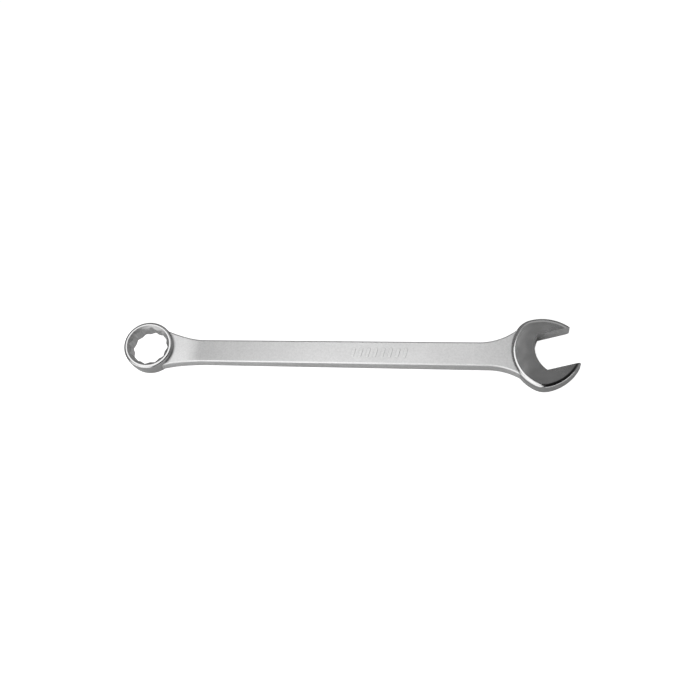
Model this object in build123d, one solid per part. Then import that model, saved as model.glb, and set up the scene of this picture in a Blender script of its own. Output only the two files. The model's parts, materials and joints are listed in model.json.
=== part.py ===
from build123d import *
import math
import os

# Combination wrench: one drop forging, made here as its named regions.
# Sizes are in millimetres and degrees.
# While it is built, X runs along the shank from the ring to the jaws, Y runs across it,
# Z = 0 is the parting plane of the shank, and X = 0 is below the middle of the nut that the
# jaws hold. The finished wrench is then moved so that its box stands centred on the origin.

# --- the nut it fits ---
across_flats = 24.0
jaw_clearance = 0.2          # how much wider than the nut the jaws and the socket are

# --- open head ---
jaw_angle = 15.0             # of the jaws to the shank
nut_offset = 2.95            # the nut's middle, above the shank's centre line
head_thickness = 12.1
head_edge_radius = 2.9       # rounding of the outer rim, on both faces
arm_radius = 28.6            # outer side of each arm
arm_setback = 7.5            # from the nut's middle back to the head's widest place
arm_width = 11.6             # each arm at its widest
shoulder_radius = 13.2       # quarter rounds between the arms and the back of the head
head_back = 25.4             # from the nut's middle to the back of the head
throat_depth = 10.1          # from the nut's middle to the bottom of the throat
throat_corner = 5.8          # from the nut's middle back to where the jaw flats end
jaw_reach = 40.0             # how far the gap's cutter runs past the nut's middle
tip_radius = 0.6

# --- both ends ---
neck_sink = 0.8              # how far inside a head's wall its neck's flares would touch it

# --- shank ---
shank_length = 186.0
shank_width = 17.0
shank_thickness_open = 10.6
shank_thickness_ring = 9.8
shank_edge_radius = 1.3
draft = 4.0                  # slope of both halves of each side, away from the parting line
parting_land = 0.8           # flat strip along the parting line, where the flash was trimmed
nut_to_shank = 49.0          # along the shank, from the nut's middle to the open neck's start

# --- open neck ---
upper_flare_radius = 38.0
lower_flare_radius = 41.0
neck_step = 0.8              # how far the head's faces stand above the neck's
groove_width = 0.7           # shallow groove that borders the back of the head
groove_depth = 0.3
open_neck_stations = 9

# --- ring neck ---
ring_tilt = 13.4             # the ring's face leans back towards the shank
bend_radius = 55.0
shank_to_bend = 14.5         # from the shank's end to where the two centre lines cross
bend_to_ring = 31.9          # from there to the ring's axis
ring_flare_radius = 97.0
ring_neck_thickness = 9.2    # where it runs into the ring
ring_neck_stations = 13

# --- ring ---
ring_wall = 3.45             # from the socket's points to the outside
ring_height = 14.0
ring_edge_radius = 1.7
ring_bulge = 0.2             # how far the wall stands out at half height
ring_lift = 1.4              # the ring's middle plane, above the neck's
points = 12
chamfer_margin = 1.1         # how much wider than the socket's points its mouth is
chamfer_depth = 2.0

# --- raised bars on the shank's upper face ---
bar_count = 8
bar_length = 6.4
bar_width = 2.2
bar_pitch = 5.1
bar_lean = 12.0
bar_relief = 0.25
bar_root = 1.0               # how deep each bar's blank starts inside the shank, before it is cut
bar_corner_radius = 0.5
bars_from_shank_end = 62.5   # from the shank's open end to the middle of the row

# --- worked out from the sizes above ---
gap = across_flats + jaw_clearance
head_width = gap + 2 * arm_width
shank_open_x = -nut_to_shank
shank_ring_x = shank_open_x - shank_length
nut_place = Location((0, nut_offset, 0), (0, 0, jaw_angle))
shoulder_offset = head_width / 2 - shoulder_radius
arm_offset = arm_radius - head_width / 2
open_neck_thickness = head_thickness - 2 * neck_step
valley_radius = gap / math.sqrt(3)
tooth_radius = gap / 2 / math.cos(math.radians(180 / points))
ring_outer_radius = valley_radius + ring_wall
chamfer_mouth_radius = valley_radius + chamfer_margin


def cross_section(plane, width, thickness):
    """The forging's section: flat faces, sides that draft away from the parting line."""
    land = parting_land / 2
    inset = (thickness / 2 - land) * math.tan(math.radians(draft))
    edge = width / 2 - inset
    corners = [(width / 2, land), (edge, thickness / 2), (-edge, thickness / 2), (-width / 2, land),
               (-width / 2, -land), (-edge, -thickness / 2), (edge, -thickness / 2), (width / 2, -land)]
    outline = make_face(Polyline(*corners, close=True).edges())
    rims = outline.vertices().filter_by(lambda corner: abs(corner.Y) > thickness / 4)
    return plane * fillet(rims, shank_edge_radius)


def flare_span(radius, round_radius, edge_above):
    """Where a side's flare starts and ends, counted from the middle of the round it runs into.

    The flare is an arc that touches both the shank's edge and the round. edge_above is the
    shank's edge, measured outwards from the round's middle.
    """
    between = radius + round_radius
    start = -math.sqrt(between ** 2 - (radius + edge_above) ** 2)
    return start, start * round_radius / between


def make_shank():
    open_end = Plane((shank_open_x, 0, 0), x_dir=(0, 1, 0), z_dir=(1, 0, 0))
    ring_end = Plane((shank_ring_x, 0, 0), x_dir=(0, 1, 0), z_dir=(1, 0, 0))
    ends = [cross_section(ring_end, shank_width, shank_thickness_ring),
            cross_section(open_end, shank_width, shank_thickness_open)]
    return loft(ends, ruled=True)


# --- open end ---

def head_outline():
    """Outline of the head before the gap is cut, about the nut's middle."""
    # The back is one arc about a point on the jaws' axis, which both shoulder arcs touch.
    gain = head_back - shoulder_radius
    back_centre = (arm_setback ** 2 + shoulder_offset ** 2 - gain ** 2) / (2 * (gain - arm_setback))
    back_radius = back_centre + head_back
    reach = math.hypot(back_centre + arm_setback, shoulder_offset)
    touch_x = back_centre - back_radius * (back_centre + arm_setback) / reach
    touch_y = back_radius * shoulder_offset / reach
    lean = math.atan2(touch_y - shoulder_offset, touch_x + arm_setback)
    middle = (lean + math.pi / 2) / 2
    mid_x = -arm_setback + shoulder_radius * math.cos(middle)
    mid_y = shoulder_offset + shoulder_radius * math.sin(middle)
    nose_x = -arm_setback + math.sqrt(arm_radius ** 2 - arm_offset ** 2)
    nose_lean = math.atan2(arm_offset, nose_x + arm_setback)
    arm_middle = (nose_lean + math.pi / 2) / 2
    arm_x = -arm_setback + arm_radius * math.cos(arm_middle)
    arm_y = arm_radius * math.sin(arm_middle) - arm_offset
    widest = head_width / 2
    edges = [
        ThreePointArc((nose_x, 0), (arm_x, arm_y), (-arm_setback, widest)),
        ThreePointArc((-arm_setback, widest), (mid_x, mid_y), (touch_x, touch_y)),
        ThreePointArc((touch_x, touch_y), (-head_back, 0), (touch_x, -touch_y)),
        ThreePointArc((touch_x, -touch_y), (mid_x, -mid_y), (-arm_setback, -widest)),
        ThreePointArc((-arm_setback, -widest), (arm_x, -arm_y), (nose_x, 0)),
    ]
    return make_face(edges)


def jaw_gap():
    """The gap between the jaw flats, with its round throat, about the nut's middle."""
    mouth = jaw_reach
    edges = [
        Line((-throat_corner, gap / 2), (mouth, gap / 2)),
        Line((mouth, gap / 2), (mouth, -gap / 2)),
        Line((mouth, -gap / 2), (-throat_corner, -gap / 2)),
        ThreePointArc((-throat_corner, -gap / 2), (-throat_depth, 0), (-throat_corner, gap / 2)),
    ]
    return make_face(edges)


def make_head_blank():
    """The head with its rounded rim, before the gap is cut."""
    blank = extrude(head_outline(), head_thickness / 2, both=True)
    rims = blank.edges().filter_by(lambda edge: abs(abs(edge.center().Z) - head_thickness / 2) < 0.01)
    return nut_place * fillet(rims, head_edge_radius)


def make_open_head(blank):
    jaws = head_outline() - jaw_gap()
    tips = jaws.vertices().filter_by(lambda corner: corner.X > 0)
    jaws = fillet(tips, tip_radius)
    cutter = nut_place * extrude(jaws, head_thickness, both=True)
    return blank & cutter


def flare_points(side, radius):
    """Places along one side of the open neck: the shank's edge, then its flare."""
    edge = shank_width / 2
    shoulder = (nut_place * Location((-arm_setback, side * shoulder_offset, 0))).position
    flare_x, end_x = flare_span(radius, shoulder_radius - neck_sink, edge - side * shoulder.Y)
    flare_x += shoulder.X
    end_x += shoulder.X
    places = []
    for step in range(open_neck_stations):
        x = shank_open_x + (end_x - shank_open_x) * step / (open_neck_stations - 1)
        run = max(0, x - flare_x)
        places.append((x, side * (edge + radius - math.sqrt(radius ** 2 - run ** 2))))
    return places


def groove_cutters():
    """Cutters for the shallow groove in both faces of the neck, along the back of the head."""
    lap = head_edge_radius - math.sqrt(head_edge_radius ** 2 - (head_edge_radius - neck_step) ** 2)
    border = offset(head_outline(), groove_width - lap)
    floor = open_neck_thickness / 2 - groove_depth
    upper = Pos(0, 0, floor) * extrude(border, head_thickness)
    return nut_place * (upper + mirror(upper, Plane.XY))


def make_open_neck(head_blank):
    # The neck runs on into the head, whose blank then cuts it away.
    upper = flare_points(1, upper_flare_radius)
    lower = flare_points(-1, lower_flare_radius)
    sections = []
    for step, (above, below) in enumerate(zip(upper, lower)):
        share = step / (open_neck_stations - 1)
        thickness = shank_thickness_open + (open_neck_thickness - shank_thickness_open) * share
        across = Vector(above[0] - below[0], above[1] - below[1], 0)
        middle = Vector((above[0] + below[0]) / 2, (above[1] + below[1]) / 2, 0)
        plane = Plane(middle, x_dir=across, z_dir=across.cross(Vector(0, 0, 1)))
        sections.append(cross_section(plane, across.length, thickness))
    return loft(sections) - head_blank - groove_cutters()


# --- ring end ---

def ring_plane():
    """The middle plane of the ring: X towards the shank, Z along the socket's axis."""
    tilt = math.radians(ring_tilt)
    along = Vector(-math.cos(tilt), 0, math.sin(tilt))
    axis = Vector(math.sin(tilt), 0, math.cos(tilt))
    bend = Vector(shank_ring_x - shank_to_bend, 0, 0)
    return Plane(bend + along * bend_to_ring + axis * ring_lift, x_dir=-along, z_dir=axis)


def neck_station(distance):
    """Place and heading on the ring neck's centre line, measured from the shank's end."""
    tilt = math.radians(ring_tilt)
    bend_start = shank_to_bend - bend_radius * math.tan(tilt / 2)
    turned = min(tilt, max(0, distance - bend_start) / bend_radius)
    past = max(0, distance - bend_start - bend_radius * tilt)
    x = min(distance, bend_start) + bend_radius * math.sin(turned) + past * math.cos(tilt)
    z = bend_radius * (1 - math.cos(turned)) + past * math.sin(tilt)
    return Vector(shank_ring_x - x, 0, z), turned


def make_ring_neck(ring_blank):
    tilt = math.radians(ring_tilt)
    saved = 2 * bend_radius * math.tan(tilt / 2) - bend_radius * tilt
    ring_distance = shank_to_bend + bend_to_ring - saved
    edge = shank_width / 2
    flare_start, flare_end = flare_span(ring_flare_radius, ring_outer_radius - neck_sink, edge)
    sections = []
    for step in range(ring_neck_stations):
        share = step / (ring_neck_stations - 1)
        distance = (ring_distance + flare_end) * share
        place, turned = neck_station(distance)
        run = max(0, distance - ring_distance - flare_start)
        half = edge + ring_flare_radius - math.sqrt(ring_flare_radius ** 2 - run ** 2)
        thickness = shank_thickness_ring + (ring_neck_thickness - shank_thickness_ring) * share
        heading = (math.cos(turned), 0, -math.sin(turned))
        sections.append(cross_section(Plane(place, x_dir=(0, 1, 0), z_dir=heading), 2 * half, thickness))
    return loft(sections) - ring_blank


def make_ring_blank():
    """The ring without its socket, turned about its own axis."""
    half = ring_height / 2
    straight = half - ring_edge_radius
    edge_x = ring_outer_radius - ring_edge_radius
    diagonal = ring_edge_radius * math.sqrt(0.5)
    edges = [
        Line((0, -half), (edge_x, -half)),
        ThreePointArc((edge_x, -half), (edge_x + diagonal, -straight - diagonal),
                      (ring_outer_radius, -straight)),
        ThreePointArc((ring_outer_radius, -straight), (ring_outer_radius + ring_bulge, 0),
                      (ring_outer_radius, straight)),
        ThreePointArc((ring_outer_radius, straight), (edge_x + diagonal, straight + diagonal),
                      (edge_x, half)),
        Line((edge_x, half), (0, half)),
        Line((0, half), (0, -half)),
    ]
    return ring_plane() * revolve(Plane.XZ * make_face(edges), Axis.Z)


def make_ring(blank):
    corners = []
    for step in range(2 * points):
        radius = valley_radius if step % 2 == 0 else tooth_radius
        angle = math.radians(180 / points * step)
        corners.append((radius * math.cos(angle), radius * math.sin(angle)))
    star = make_face(Polyline(*corners, close=True).edges())
    socket = extrude(star, ring_height, both=True)
    slope = (chamfer_mouth_radius - tooth_radius) / chamfer_depth
    depth = chamfer_mouth_radius / slope
    mouth = Cone(0, chamfer_mouth_radius, depth)
    top = Pos(0, 0, ring_height / 2 - depth / 2) * mouth
    bottom = Rot(180, 0, 0) * top
    return blank - ring_plane() * (socket + top + bottom)


def make_bars(shank):
    """A row of plain raised bars, forged on the shank's upper face."""
    blank = extrude(RectangleRounded(bar_width, bar_length, bar_corner_radius), bar_root + bar_relief)
    bars = []
    for number in range(bar_count):
        along = (number - (bar_count - 1) / 2) * bar_pitch
        x = shank_open_x - bars_from_shank_end + along
        share = (shank_open_x - x) / shank_length
        thickness = shank_thickness_open + (shank_thickness_ring - shank_thickness_open) * share
        bars.append(Location((x, 0, thickness / 2 - bar_root), (0, 0, -bar_lean)) * blank - shank)
    return bars


shank = make_shank()
head_blank = make_head_blank()
ring_blank = make_ring_blank()
nodes = {
    "shank": [shank],
    "open_neck": [make_open_neck(head_blank)],
    "open_head": [make_open_head(head_blank)],
    "ring_neck": [make_ring_neck(ring_blank)],
    "ring": [make_ring(ring_blank)],
    "raised_bars": make_bars(shank),
}

wrench = Compound(children=[solid for group in nodes.values() for part in group for solid in part.solids()])
box = wrench.bounding_box()
stand = Pos(-box.center().X, -box.center().Y, -box.min.Z)
os.makedirs("parts", exist_ok=True)
for name, group in nodes.items():
    solids = [stand * solid for part in group for solid in part.solids()]
    export_step(solids[0] if len(solids) == 1 else Compound(children=solids), f"parts/{name}.step")

size = box.size
print(f"overall {size.X:.2f} x {size.Y:.2f} x {size.Z:.2f}")
nut = stand * nut_place
print(f"nut middle {nut.position.X:.3f} {nut.position.Y:.3f} {nut.position.Z:.3f}")
socket = stand * ring_plane().location
print(f"socket middle {socket.position.X:.3f} {socket.position.Y:.3f} {socket.position.Z:.3f}")
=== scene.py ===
import json
import math

import bmesh
import bpy
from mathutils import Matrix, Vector


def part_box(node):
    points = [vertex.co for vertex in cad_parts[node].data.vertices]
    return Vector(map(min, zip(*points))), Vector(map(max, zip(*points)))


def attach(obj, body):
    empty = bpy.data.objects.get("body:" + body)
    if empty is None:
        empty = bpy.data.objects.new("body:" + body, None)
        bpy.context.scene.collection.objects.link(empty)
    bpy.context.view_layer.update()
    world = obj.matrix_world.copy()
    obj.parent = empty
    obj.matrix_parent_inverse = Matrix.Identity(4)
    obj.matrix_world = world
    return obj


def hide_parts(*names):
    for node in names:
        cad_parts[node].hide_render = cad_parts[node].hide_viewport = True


# A combination wrench lying on a plain pale floor. Lengths are in metres, in the CAD frame.

MM = 0.001

# --- view settings ---
CAMERA_FROM_JAWS = (-17.3 * MM, -153.3 * MM, 440.5 * MM)   # from the middle of the jaw flats
CAMERA_TURN = (19.862, 13.246, 5.437)                       # degrees about X, Y and Z
LENS = 36.0
SENSOR = 36.0

# --- studio settings ---
FLOOR_SIZE = 6.0
FLOOR_FRONT = 0.6            # paint in front of the wrench, and the darker paint behind it, which is painted shade that the metal shows in its reflections
FLOOR_SHADED_BACK = 0.18
FLOOR_FADE = (0.012, 0.030)  # between these distances along Y the one turns into the other
FLOOR_GLOW = 0.95            # light of its own that the floor shows to the camera alone
DOME = 0.24                  # dim light from all round
DARK_SIDE = (0.34, -0.45, 0.82)   # toward the darkest part of the dome
DARK_FROM, DARK_TO = 0.60, 0.92   # how squarely a direction faces it
DARKEST = 0.01
GLOW_FROM, GLOW_TO = 0.34, 0.05   # height where the glow at the horizon starts, and is full
GLOW_GAIN = 0.22                  # how much lighter the dome is at the horizon
OVERHEAD = {"centre": (-0.110, -0.08, 0.55), "aim": (-0.110, -0.08, 0.0),
            "size": (0.39, 0.65), "radiance": 1.62}
SIDE = {"centre": (-0.35, -0.61, 0.41), "aim": (0.0, 0.0, 0.0),
        "size": (0.95, 0.72), "radiance": 1.45}
BACK = {"centre": (0.28, 0.50, 0.52), "aim": (0.10, 0.0, 0.0),
        "size": (0.80, 0.55), "radiance": 0.36}
FRONT = {"centre": (0.55, -0.60, 0.13), "aim": (0.0, 0.0, 0.02),
         "size": (0.90, 0.16), "radiance": 1.0}

# --- mesh settings ---
MERGE = 0.001 * MM
SHARP_ANGLE = math.radians(24)   # edges that turn more than this stay crisp
FLAT_ANGLE = math.radians(0.2)   # faces that turn less than this are one flat face
HEAD_EDGE_BREAK = 0.3 * MM
RING_EDGE_BREAK = 0.12 * MM
BAR_EDGE_BREAK = 0.2 * MM
BAR_RIM_DEPTH = 0.15 * MM        # how far below the top of the bars their rims may lie
RING_HEIGHT = 14.0 * MM          # along the ring's own axis
UPRIGHT = 0.2                    # the most a jaw wall's normal may lean up or down
JAW_MARGIN = 0.5 * MM
JAW_AHEAD = -0.2                 # faces turned back more than this aren't jaw walls
WALL_INWARD = 0.85               # how squarely a face looks at the ring's axis: the socket wall,
CHAMFER_INWARD = 0.3             # and the chamfers at its mouths

# --- surface settings ---
PATTERN_LOW, PATTERN_HIGH = 0.3, 0.7      # where nearly all of a noise lies
HAIR_LAYS = ((0.5, 45.0), (-0.9, 30.0))   # each lay's turn in radians, and how drawn out it is
HAIR_TILT = (0.1, 0.05)
HAIR_FROM, HAIR_TO = 0.70, 0.78           # the part of the noise that shows as a scratch
RUB_FROM, RUB_TO = 0.995, 0.93            # agreement of the rounded and the true normal
CORNER_SHADE_FROM, CORNER_SHADE_TO = 0.95, 0.45       # share of the sky that a point still sees, where the painted shade in corners begins and where it is full
LINE_STRETCH = 0.02
BAND_SHARE = 0.22                         # the bands' scale as a share of the lines' scale


# --- helpers ---

def place(thing):
    bpy.context.scene.collection.objects.link(thing)
    return thing


def add(tree, kind, inputs=None, **settings):
    """One shader node. An input is a value, or the output socket that feeds it."""
    made = tree.nodes.new("ShaderNode" + kind)
    for name, value in settings.items():
        setattr(made, name, value)
    for name, value in (inputs or {}).items():
        if isinstance(value, bpy.types.NodeSocket):
            tree.links.new(value, made.inputs[name])
        else:
            made.inputs[name].default_value = value
    return made


def use(tree, group, inputs):
    """The outputs of one use of a shared effect."""
    return add(tree, "Group", inputs, node_tree=group).outputs


def spread(tree, value, low, high):
    """A 0 to 1 pattern, stretched about its middle, as a value between low and high."""
    made = add(tree, "MapRange", {"Value": value, "From Min": PATTERN_LOW, "From Max": PATTERN_HIGH,
                                  "To Min": low, "To Max": high})
    return made.outputs["Result"]


def mixed(tree, factor, first, second):
    return add(tree, "Mix", {"Factor": factor, "A": first, "B": second}).outputs["Result"]


def added(tree, first, second):
    return add(tree, "Math", {0: first, 1: second}, operation="ADD").outputs["Value"]


def times(tree, first, second):
    return add(tree, "Math", {0: first, 1: second}, operation="MULTIPLY").outputs["Value"]


def scale_for(tree, width):
    """The noise scale that makes grains of this width, which may be a socket."""
    return add(tree, "Math", {0: 1.0, 1: width}, operation="DIVIDE").outputs["Value"]


def new_material(name):
    """A material, its node tree and its Principled shader."""
    material = bpy.data.materials.new(name)
    material.use_nodes = True
    tree = material.node_tree
    return material, tree, tree.nodes["Principled BSDF"]


# --- view and studio ---

def make_camera(target):
    data = bpy.data.cameras.new("camera")
    data.lens = LENS
    data.sensor_width = SENSOR
    camera = place(bpy.data.objects.new("camera", data))
    camera.location = target + Vector(CAMERA_FROM_JAWS)
    camera.rotation_euler = [math.radians(angle) for angle in CAMERA_TURN]
    bpy.context.scene.camera = camera
    bpy.context.scene.view_settings.view_transform = "Standard"


def make_floor():
    mesh = bpy.data.meshes.new("floor")
    shape = bmesh.new()
    bmesh.ops.create_grid(shape, x_segments=1, y_segments=1, size=FLOOR_SIZE / 2)
    shape.to_mesh(mesh)
    shape.free()
    floor = place(bpy.data.objects.new("floor", mesh))
    material, tree, shader = new_material("pale_floor")
    tree.nodes.remove(shader)
    path = add(tree, "LightPath")
    glow = times(tree, path.outputs["Is Camera Ray"], FLOOR_GLOW)
    where = add(tree, "SeparateXYZ", {"Vector": add(tree, "TexCoord").outputs["Object"]})
    # painted shade: the floor's paint darkens behind the wrench; the metal shows this in its reflections
    floor_paint_and_shade = add(tree, "MapRange", {"Value": where.outputs["Y"],
                                  "From Min": FLOOR_FADE[0], "From Max": FLOOR_FADE[1],
                                  "To Min": FLOOR_FRONT, "To Max": FLOOR_SHADED_BACK},
               interpolation_type="SMOOTHSTEP")
    paint = add(tree, "BsdfDiffuse", {"Color": floor_paint_and_shade.outputs["Result"]})
    light = add(tree, "Emission", {"Strength": glow})
    both = add(tree, "AddShader", {0: paint.outputs["BSDF"], 1: light.outputs["Emission"]})
    tree.links.new(both.outputs["Shader"], tree.nodes["Material Output"].inputs["Surface"])
    mesh.materials.append(material)


def make_dome():
    """Dim light from all round, dark high at the front right, paler at the horizon, white to the camera."""
    world = bpy.data.worlds.new("studio")
    bpy.context.scene.world = world
    world.use_nodes = True
    tree = world.node_tree
    sky = add(tree, "TexCoord")
    toward = add(tree, "VectorMath", {0: sky.outputs["Generated"], 1: DARK_SIDE}, operation="DOT_PRODUCT")
    shade = add(tree, "MapRange", {"Value": toward.outputs["Value"],
                                   "From Min": DARK_FROM, "From Max": DARK_TO,
                                   "To Min": DOME, "To Max": DARKEST}, interpolation_type="SMOOTHSTEP")
    height = add(tree, "SeparateXYZ", {"Vector": sky.outputs["Generated"]})
    gain = add(tree, "MapRange", {"Value": height.outputs["Z"],
                                  "From Min": GLOW_FROM, "From Max": GLOW_TO,
                                  "To Max": GLOW_GAIN}, interpolation_type="SMOOTHSTEP")
    both = added(tree, shade.outputs["Result"], gain.outputs["Result"])
    path = add(tree, "LightPath")
    seen = add(tree, "Mix", {"Factor": path.outputs["Is Camera Ray"], "A": both, "B": 1.0})
    tree.links.new(seen.outputs["Result"], tree.nodes["Background"].inputs["Strength"])
    tree.nodes["Background"].inputs["Color"].default_value = (1, 1, 1, 1)


def make_panel(name, centre, aim, size, radiance):
    """A large soft light, which shows in reflections but not to the camera."""
    data = bpy.data.lights.new(name, "AREA")
    data.shape = "RECTANGLE"
    data.size, data.size_y = size
    data.energy = radiance * math.pi * size[0] * size[1]
    panel = place(bpy.data.objects.new(name, data))
    panel.location = centre
    toward = Vector(aim) - Vector(centre)
    panel.rotation_euler = toward.to_track_quat("-Z", "Y").to_euler()
    panel.visible_camera = False


# --- shared surface effects ---

def new_group(name, inputs, outputs):
    """A shader node group with named sockets, and its input and output nodes."""
    group = bpy.data.node_groups.new(name, "ShaderNodeTree")
    for socket, kind in inputs:
        group.interface.new_socket(socket, in_out="INPUT", socket_type="NodeSocket" + kind)
    for socket, kind in outputs:
        group.interface.new_socket(socket, in_out="OUTPUT", socket_type="NodeSocket" + kind)
    return group, group.nodes.new("NodeGroupInput"), group.nodes.new("NodeGroupOutput")


def make_grain_group():
    """Fine blasted grain over a coarser mottle. Sizes are the width of one grain, in metres."""
    group, given, out = new_group("blasted_grain",
                                  [("Place", "Vector"), ("Fine", "Float"), ("Coarse", "Float")],
                                  [("Height", "Float"), ("Mottle", "Float")])
    place_on = given.outputs["Place"]
    fine = add(group, "TexNoise", {"Vector": place_on, "Scale": scale_for(group, given.outputs["Fine"]),
                                   "Detail": 3.0, "Roughness": 0.6})
    coarse = add(group, "TexNoise", {"Vector": place_on, "Scale": scale_for(group, given.outputs["Coarse"]),
                                     "Detail": 4.0, "Roughness": 0.65})
    group.links.new(fine.outputs["Fac"], out.inputs["Height"])
    group.links.new(coarse.outputs["Fac"], out.inputs["Mottle"])
    return group


def make_handling_group():
    """Marks of use: cloudy finger smudges, and sparse hair scratches that run two ways."""
    group, given, out = new_group("handling",
                                  [("Place", "Vector"), ("Smudge", "Float"), ("Scratch", "Float")],
                                  [("Smudges", "Float"), ("Scratches", "Float")])
    place_on = given.outputs["Place"]
    smudge = add(group, "TexNoise", {"Vector": place_on, "Scale": scale_for(group, given.outputs["Smudge"]),
                                     "Detail": 2.0, "Distortion": 0.8})
    group.links.new(smudge.outputs["Fac"], out.inputs["Smudges"])
    hair_scale = scale_for(group, given.outputs["Scratch"])
    cuts = []
    for turn, stretch in HAIR_LAYS:
        lay = add(group, "Mapping", {"Vector": place_on, "Rotation": (*HAIR_TILT, turn),
                                     "Scale": (1 / stretch, 1.0, 1.0)}, vector_type="POINT")
        hair = add(group, "TexNoise", {"Vector": lay.outputs["Vector"], "Scale": hair_scale, "Detail": 1.0})
        cut = add(group, "MapRange", {"Value": hair.outputs["Fac"],
                                      "From Min": HAIR_FROM, "From Max": HAIR_TO})
        cuts.append(cut.outputs["Result"])
    both = add(group, "Math", {0: cuts[0], 1: cuts[1]}, operation="MAXIMUM")
    group.links.new(both.outputs["Value"], out.inputs["Scratches"])
    return group


def make_edge_group():
    """How near a point is to an edge or a tight round, from 0 to 1, where handling rubs it bright."""
    group, given, out = new_group("edge_rub", [("Reach", "Float")], [("Rub", "Float")])
    round_normal = add(group, "Bevel", {"Radius": given.outputs["Reach"]}, samples=4)
    surface = add(group, "NewGeometry")
    same = add(group, "VectorMath", {0: round_normal.outputs["Normal"], 1: surface.outputs["Normal"]},
               operation="DOT_PRODUCT")
    rub = add(group, "MapRange", {"Value": same.outputs["Value"], "From Min": RUB_FROM, "From Max": RUB_TO})
    group.links.new(rub.outputs["Result"], out.inputs["Rub"])
    return group


def make_corner_shade_group():
    """Painted shade: how deep a point lies in a corner, from 0 to 1, by how little of the sky it sees; the
    finishes darken their colour there.
    """
    group, given, out = new_group("painted_corner_shade", [("Reach", "Float")], [("Depth", "Float")])
    open_sky = add(group, "AmbientOcclusion", {"Distance": given.outputs["Reach"]}, samples=8)
    shade_amount = add(group, "MapRange", {"Value": open_sky.outputs["AO"],
                                    "From Min": CORNER_SHADE_FROM, "From Max": CORNER_SHADE_TO})
    group.links.new(shade_amount.outputs["Result"], out.inputs["Depth"])
    return group


def make_tool_lines_group():
    """Fine parallel lines left by a cutter or a grinding wheel, along the stretched X axis of Place."""
    group, given, out = new_group("tool_lines", [("Place", "Vector"), ("Pitch", "Float")],
                                  [("Height", "Float"), ("Shade", "Float")])
    scale = scale_for(group, given.outputs["Pitch"])
    lay = add(group, "Mapping", {"Vector": given.outputs["Place"], "Scale": (LINE_STRETCH, 1.0, 1.0)},
              vector_type="POINT")
    lines = add(group, "TexNoise", {"Vector": lay.outputs["Vector"], "Scale": scale, "Detail": 3.0})
    wide = times(group, scale, BAND_SHARE)
    bands = add(group, "TexNoise", {"Vector": lay.outputs["Vector"], "Scale": wide, "Detail": 1.0})
    group.links.new(lines.outputs["Fac"], out.inputs["Height"])
    group.links.new(bands.outputs["Fac"], out.inputs["Shade"])
    return group


# --- finishes ---

def satin_chrome(effects):
    """Chrome plate over a blasted forging: fine grain, faint mottle, edges rubbed a little brighter, and
    painted shade that darkens its corners.
    """
    material, tree, shader = new_material("satin_chrome")
    where = add(tree, "TexCoord").outputs["Object"]
    grain = use(tree, effects["grain"], {"Place": where, "Fine": 0.22 * MM, "Coarse": 1.3 * MM})
    marks = use(tree, effects["handling"], {"Place": where, "Smudge": 22 * MM, "Scratch": 0.35 * MM})
    rub = use(tree, effects["edge"], {"Reach": 0.9 * MM})["Rub"]
    tone = added(tree, spread(tree, grain["Mottle"], 0.675, 0.795),
                 spread(tree, marks["Smudges"], -0.012, 0.012))
    tone = added(tree, tone, spread(tree, grain["Height"], -0.03, 0.03))
    tone = mixed(tree, times(tree, rub, 0.5), tone, 0.80)
    # painted shade: the colour darkens toward a dark grey in corners, as if shaded
    corner = use(tree, effects["painted_corner_shade"], {"Reach": 1.8 * MM})["Depth"]
    tone = mixed(tree, times(tree, corner, 0.75), tone, 0.24)
    tree.links.new(tone, shader.inputs["Base Color"])
    shader.inputs["Metallic"].default_value = 1
    rough = added(tree, spread(tree, marks["Smudges"], 0.44, 0.50),
                  spread(tree, grain["Mottle"], -0.03, 0.03))
    rough = mixed(tree, times(tree, rub, 0.6), rough, 0.30)
    rough = mixed(tree, times(tree, marks["Scratches"], 0.5), rough, 0.28)
    tree.links.new(rough, shader.inputs["Roughness"])
    height = added(tree, times(tree, grain["Height"], 0.6), times(tree, grain["Mottle"], 0.8))
    height = added(tree, height, times(tree, marks["Scratches"], -0.4))
    bump = add(tree, "Bump", {"Height": height, "Strength": 0.35, "Distance": 0.02 * MM})
    tree.links.new(bump.outputs["Normal"], shader.inputs["Normal"])
    return material


def polished_chrome(effects):
    """Buffed chrome plate: nearly a mirror, a little uneven, with smudges and hair scratches, and painted
    shade that darkens its corners.
    """
    material, tree, shader = new_material("polished_chrome")
    where = add(tree, "TexCoord").outputs["Object"]
    marks = use(tree, effects["handling"], {"Place": where, "Smudge": 9 * MM, "Scratch": 0.22 * MM})
    grain = use(tree, effects["grain"], {"Place": where, "Fine": 0.5 * MM, "Coarse": 5 * MM})
    rub = use(tree, effects["edge"], {"Reach": 0.4 * MM})["Rub"]
    tone = added(tree, spread(tree, marks["Smudges"], 0.505, 0.535),
                 spread(tree, grain["Mottle"], -0.006, 0.006))
    tone = mixed(tree, times(tree, rub, 0.15), tone, 0.70)
    # painted shade: the colour darkens toward a dark grey in corners, as if shaded
    corner = use(tree, effects["painted_corner_shade"], {"Reach": 3.0 * MM})["Depth"]
    tone = mixed(tree, times(tree, corner, 0.6), tone, 0.18)
    tree.links.new(tone, shader.inputs["Base Color"])
    shader.inputs["Metallic"].default_value = 1
    rough = spread(tree, marks["Smudges"], 0.11, 0.17)
    rough = mixed(tree, times(tree, marks["Scratches"], 0.6), rough, 0.30)
    tree.links.new(rough, shader.inputs["Roughness"])
    height = added(tree, times(tree, grain["Mottle"], 1.0), times(tree, grain["Height"], 0.03))
    height = added(tree, height, times(tree, marks["Scratches"], -0.08))
    bump = add(tree, "Bump", {"Height": height, "Strength": 0.12, "Distance": 0.03 * MM})
    tree.links.new(bump.outputs["Normal"], shader.inputs["Normal"])
    return material


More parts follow.
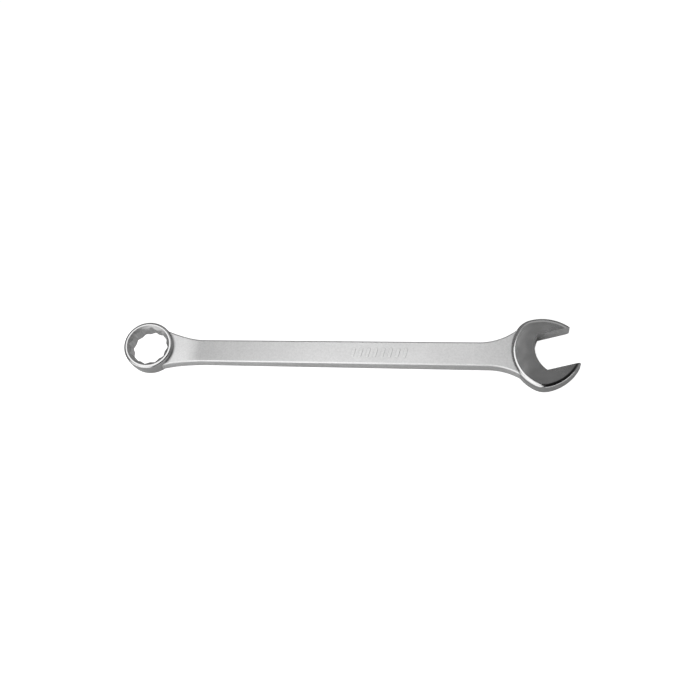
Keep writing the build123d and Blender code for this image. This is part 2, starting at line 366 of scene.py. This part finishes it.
def cut_metal(name, effects, origin, turn, pitch, tones, roughness):
    """A machined wall, ground or broached, with its tool lines along the turned X axis."""
    material, tree, shader = new_material(name)
    where = add(tree, "TexCoord").outputs["Object"]
    lay = add(tree, "Mapping", {"Vector": where, "Location": origin, "Rotation": turn}, vector_type="TEXTURE")
    lines = use(tree, effects["lines"], {"Place": lay.outputs["Vector"], "Pitch": pitch})
    marks = use(tree, effects["handling"], {"Place": where, "Smudge": 5 * MM, "Scratch": 0.3 * MM})
    rub = use(tree, effects["edge"], {"Reach": 0.35 * MM})["Rub"]
    tone = added(tree, spread(tree, lines["Shade"], *tones), spread(tree, lines["Height"], -0.03, 0.03))
    tone = mixed(tree, times(tree, rub, 0.3), tone, 0.80)
    tree.links.new(tone, shader.inputs["Base Color"])
    shader.inputs["Metallic"].default_value = 1
    rough = added(tree, spread(tree, lines["Shade"], *roughness), spread(tree, marks["Smudges"], -0.04, 0.04))
    tree.links.new(rough, shader.inputs["Roughness"])
    bump = add(tree, "Bump", {"Height": lines["Height"], "Strength": 0.4, "Distance": 0.012 * MM})
    tree.links.new(bump.outputs["Normal"], shader.inputs["Normal"])
    return material


# --- pieces ---

def forging_shape(node):
    """The CAD node's skin with its corners joined and its flat faces whole."""
    shape = bmesh.new()
    shape.from_mesh(frame["nodes"][node].data)
    bmesh.ops.remove_doubles(shape, verts=shape.verts[:], dist=MERGE)
    bmesh.ops.dissolve_limit(shape, angle_limit=FLAT_ANGLE, verts=shape.verts[:], edges=shape.edges[:],
                             use_dissolve_boundaries=False, delimit={"NORMAL"})
    return shape


def sharp_edges(shape, wanted=None):
    return [edge for edge in shape.edges if len(edge.link_faces) == 2
            and edge.calc_face_angle(0.0) > SHARP_ANGLE and (wanted is None or wanted(edge))]


def break_edges(shape, edges, width):
    """A small round along the edges, as tumbling and plating leave it."""
    bmesh.ops.bevel(shape, geom=edges, offset=width, offset_type="OFFSET", affect="EDGES", segments=2,
                    profile=0.5, clamp_overlap=True, material=-1)


def finish_piece(shape, name, node, materials):
    """Makes the shape a piece that stands for its CAD node, smooth but for its sharp edges."""
    for face in shape.faces:
        face.smooth = True
    for edge in shape.edges:
        edge.smooth = len(edge.link_faces) == 2 and edge.calc_face_angle(0.0) < SHARP_ANGLE
    mesh = bpy.data.meshes.new(name)
    shape.to_mesh(mesh)
    shape.free()
    for material in materials:
        mesh.materials.append(material)
    piece = place(bpy.data.objects.new(name, mesh))
    weight = piece.modifiers.new("even_shading", "WEIGHTED_NORMAL")
    weight.keep_sharp = True
    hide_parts(node)
    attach(piece, "root")
    return piece


def make_open_head(polished, ground, jaw_middle, jaw_axis):
    shape = forging_shape("open_head")
    flat_reach = (mount_place("upper_jaw_flat") - jaw_middle).length
    break_edges(shape, sharp_edges(shape), HEAD_EDGE_BREAK)
    for face in shape.faces:
        upright = abs(face.normal.z) < UPRIGHT
        inside = (face.calc_center_median() - jaw_middle).cross(jaw_axis).length < flat_reach + JAW_MARGIN
        ahead = face.normal.dot(jaw_axis) > JAW_AHEAD
        face.material_index = 1 if upright and inside and ahead else 0
    return finish_piece(shape, "open_head_forging", "open_head", [polished, ground])


def make_ring(metals, middle, axis):
    shape = forging_shape("ring")
    break_edges(shape, sharp_edges(shape), RING_EDGE_BREAK)
    for face in shape.faces:
        out = face.calc_center_median() - middle
        out -= axis * out.dot(axis)
        inward = -face.normal.dot(out.normalized())
        face.material_index = 1 if inward > WALL_INWARD else 2 if inward > CHAMFER_INWARD else 0
    return finish_piece(shape, "ring_forging", "ring", metals)


def make_satin_pieces(satin):
    for node in ("shank", "open_neck", "ring_neck"):
        finish_piece(forging_shape(node), node + "_forging", node, [satin])
    bars = forging_shape("raised_bars")
    rim_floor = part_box("raised_bars")[1].z - BAR_RIM_DEPTH
    rims = sharp_edges(bars, lambda edge: min(corner.co.z for corner in edge.verts) > rim_floor)
    break_edges(bars, rims, BAR_EDGE_BREAK)
    finish_piece(bars, "raised_bars_relief", "raised_bars", [satin])


def mount_place(name):
    return Vector(mounts[name]["pos_m"])


# --- the scene ---

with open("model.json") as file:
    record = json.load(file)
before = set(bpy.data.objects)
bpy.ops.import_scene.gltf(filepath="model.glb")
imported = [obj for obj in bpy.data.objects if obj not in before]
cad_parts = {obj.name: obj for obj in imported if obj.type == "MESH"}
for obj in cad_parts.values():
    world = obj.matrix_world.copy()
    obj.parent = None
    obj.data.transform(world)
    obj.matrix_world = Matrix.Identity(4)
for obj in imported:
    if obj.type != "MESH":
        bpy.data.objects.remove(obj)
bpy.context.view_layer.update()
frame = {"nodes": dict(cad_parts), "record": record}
mounts = {mount["name"]: mount for mount in frame["record"]["mounts"]}
jaw_middle = (mount_place("upper_jaw_flat") + mount_place("lower_jaw_flat")) / 2
jaw_axis = Vector(mounts["lower_jaw_flat"]["axis"]).cross(Vector((0, 0, 1)))
ring_axis = Vector(mounts["ring_socket"]["axis"])
ring_middle = mount_place("ring_socket") - ring_axis * RING_HEIGHT / 2
ring_tilt = math.atan2(ring_axis.x, ring_axis.z)
jaw_turn = math.atan2(jaw_axis.y, jaw_axis.x)

make_camera(jaw_middle)
make_floor()
make_dome()
make_panel("overhead_panel", **OVERHEAD)
make_panel("side_panel", **SIDE)
make_panel("back_panel", **BACK)
make_panel("front_strip", **FRONT)

effects = {"grain": make_grain_group(), "handling": make_handling_group(), "edge": make_edge_group(),
           "painted_corner_shade": make_corner_shade_group(), "lines": make_tool_lines_group()}
satin = satin_chrome(effects)
polished = polished_chrome(effects)
across = (0, ring_tilt, 0)
along = (0, ring_tilt - math.pi / 2, 0)
ground = cut_metal("ground_jaws", effects, jaw_middle, (0, 0, jaw_turn),
                   pitch=0.16 * MM, tones=(0.68, 0.80), roughness=(0.26, 0.36))
broached = cut_metal("broached_socket", effects, ring_middle, along,
                     pitch=0.22 * MM, tones=(0.66, 0.84), roughness=(0.28, 0.38))
turned = cut_metal("turned_chamfer", effects, ring_middle, across,
                   pitch=0.25 * MM, tones=(0.42, 0.54), roughness=(0.42, 0.52))
make_satin_pieces(satin)
make_open_head(polished, ground, jaw_middle, jaw_axis)
make_ring([polished, broached, turned], ring_middle, ring_axis)
